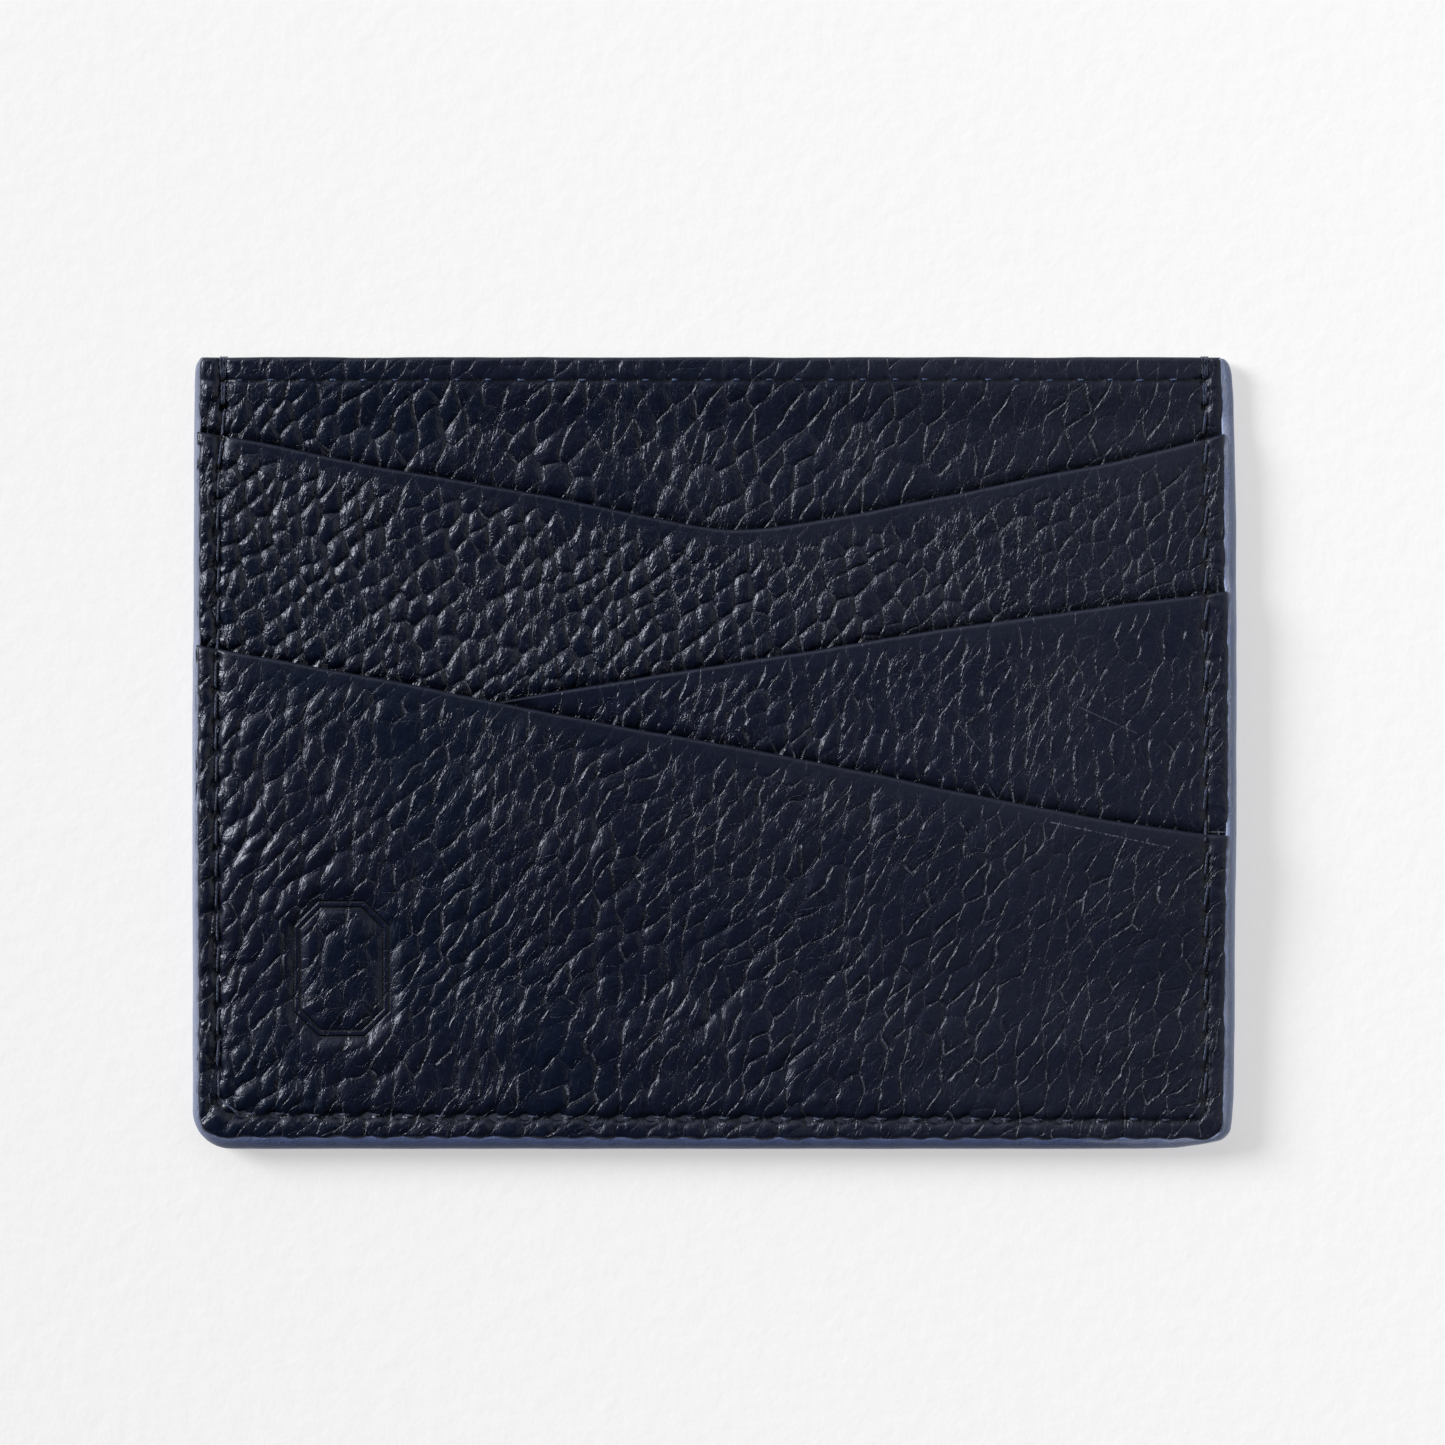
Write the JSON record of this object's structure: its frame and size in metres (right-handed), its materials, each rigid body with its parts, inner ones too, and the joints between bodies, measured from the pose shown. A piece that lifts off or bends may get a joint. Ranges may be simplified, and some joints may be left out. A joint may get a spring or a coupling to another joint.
{
  "type": "card holder",
  "caption": "Slim flat card holder in dark navy pebbled leather, with overlapping V-cut and slanted card slots, a centre pocket and painted edges.",
  "frame": {"origin": "under the middle of the outline, on the surface the card holder rests on (bottom centre of its bounding box)", "axes": "+Z out of the front face that carries the card slots; +Y towards the pocket mouths; +X to the right seen from the front, along the longest side"},
  "size_m": [0.1, 0.0758, 0.0053],
  "materials": {
    "body_leather": "pebbled, semi-gloss",
    "upper_slot_leather": "fine pebbled, semi-gloss",
    "middle_slot_leather": "pebbled, semi-gloss",
    "lower_slot_leather": "pebbled, semi-gloss",
    "lining": "matte woven",
    "edge_paint": "satin edge paint",
    "thread": "satin twisted thread",
    "hidden_thread": "satin twisted thread"
  },
  "bodies": {
    "root": {"back_panel": "body_leather", "front_panel": "body_leather", "upper_slot_panel": "upper_slot_leather", "middle_slot_panel": "middle_slot_leather", "lower_slot_panel": "lower_slot_leather", "back_lining": "lining", "front_lining": "lining", "upper_slot_lining": "lining", "middle_slot_lining": "lining", "lower_slot_lining": "lining", "edge_coat": "edge_paint", "perimeter_thread_front": "thread", "perimeter_thread_back": "thread", "front_hem_thread": "thread", "back_hem_thread": "thread", "left_end_backstitch": "thread", "right_end_backstitch": "thread", "upper_slot_seam_thread": "hidden_thread", "middle_slot_seam_thread": "hidden_thread"}
  },
  "joints": []
}
